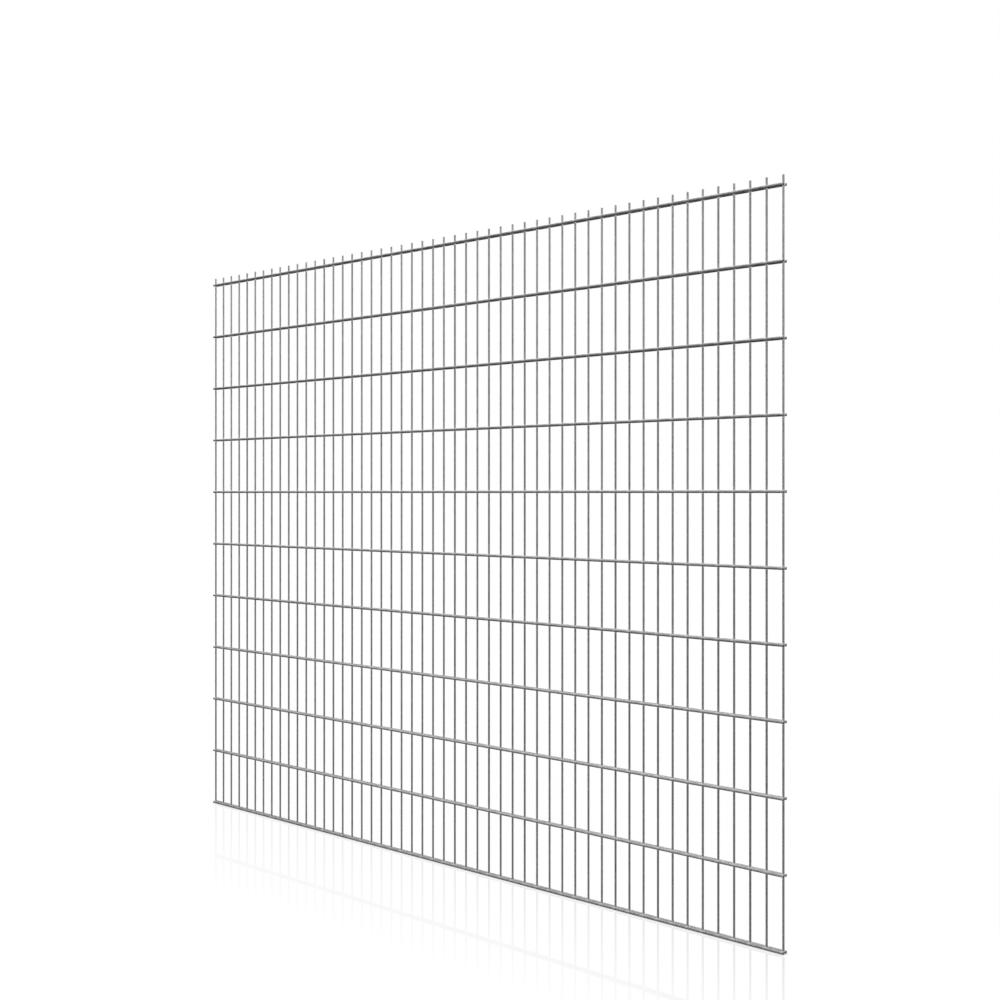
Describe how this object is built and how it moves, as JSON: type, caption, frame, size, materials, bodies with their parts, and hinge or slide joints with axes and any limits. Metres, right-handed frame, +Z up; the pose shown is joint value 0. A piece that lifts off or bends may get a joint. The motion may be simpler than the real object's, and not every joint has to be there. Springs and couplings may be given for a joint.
{
  "type": "twin-wire welded mesh fence panel",
  "caption": "Rigid mesh fence panel of round uprights welded between pairs of horizontal wires, with the uprights standing above the top pair as spikes.",
  "frame": {"origin": "centre of the flat foot of the middle upright, level with the underside of the bottom wires", "axes": "+X along the panel to the right as seen from the front, -Y the front face, +Z up along the uprights"},
  "size_m": [2.51, 0.0204, 2.03],
  "materials": {
    "galvanised_steel": "satin"
  },
  "bodies": {
    "root": {"back_wire_01": "galvanised_steel", "back_wire_02": "galvanised_steel", "back_wire_03": "galvanised_steel", "back_wire_04": "galvanised_steel", "back_wire_05": "galvanised_steel", "back_wire_06": "galvanised_steel", "back_wire_07": "galvanised_steel", "back_wire_08": "galvanised_steel", "back_wire_09": "galvanised_steel", "back_wire_10": "galvanised_steel", "back_wire_11": "galvanised_steel", "front_wire_01": "galvanised_steel", "front_wire_02": "galvanised_steel", "front_wire_03": "galvanised_steel", "front_wire_04": "galvanised_steel", "front_wire_05": "galvanised_steel", "front_wire_06": "galvanised_steel", "front_wire_07": "galvanised_steel", "front_wire_08": "galvanised_steel", "front_wire_09": "galvanised_steel", "front_wire_10": "galvanised_steel", "front_wire_11": "galvanised_steel", "left_edge_upright": "galvanised_steel", "left_uprights_01": "galvanised_steel", "left_uprights_02": "galvanised_steel", "left_uprights_03": "galvanised_steel", "left_uprights_04": "galvanised_steel", "left_uprights_05": "galvanised_steel", "left_uprights_06": "galvanised_steel", "middle_upright": "galvanised_steel", "right_edge_upright": "galvanised_steel", "right_uprights_01": "galvanised_steel", "right_uprights_02": "galvanised_steel", "right_uprights_03": "galvanised_steel", "right_uprights_04": "galvanised_steel", "right_uprights_05": "galvanised_steel", "right_uprights_06": "galvanised_steel"}
  },
  "joints": []
}
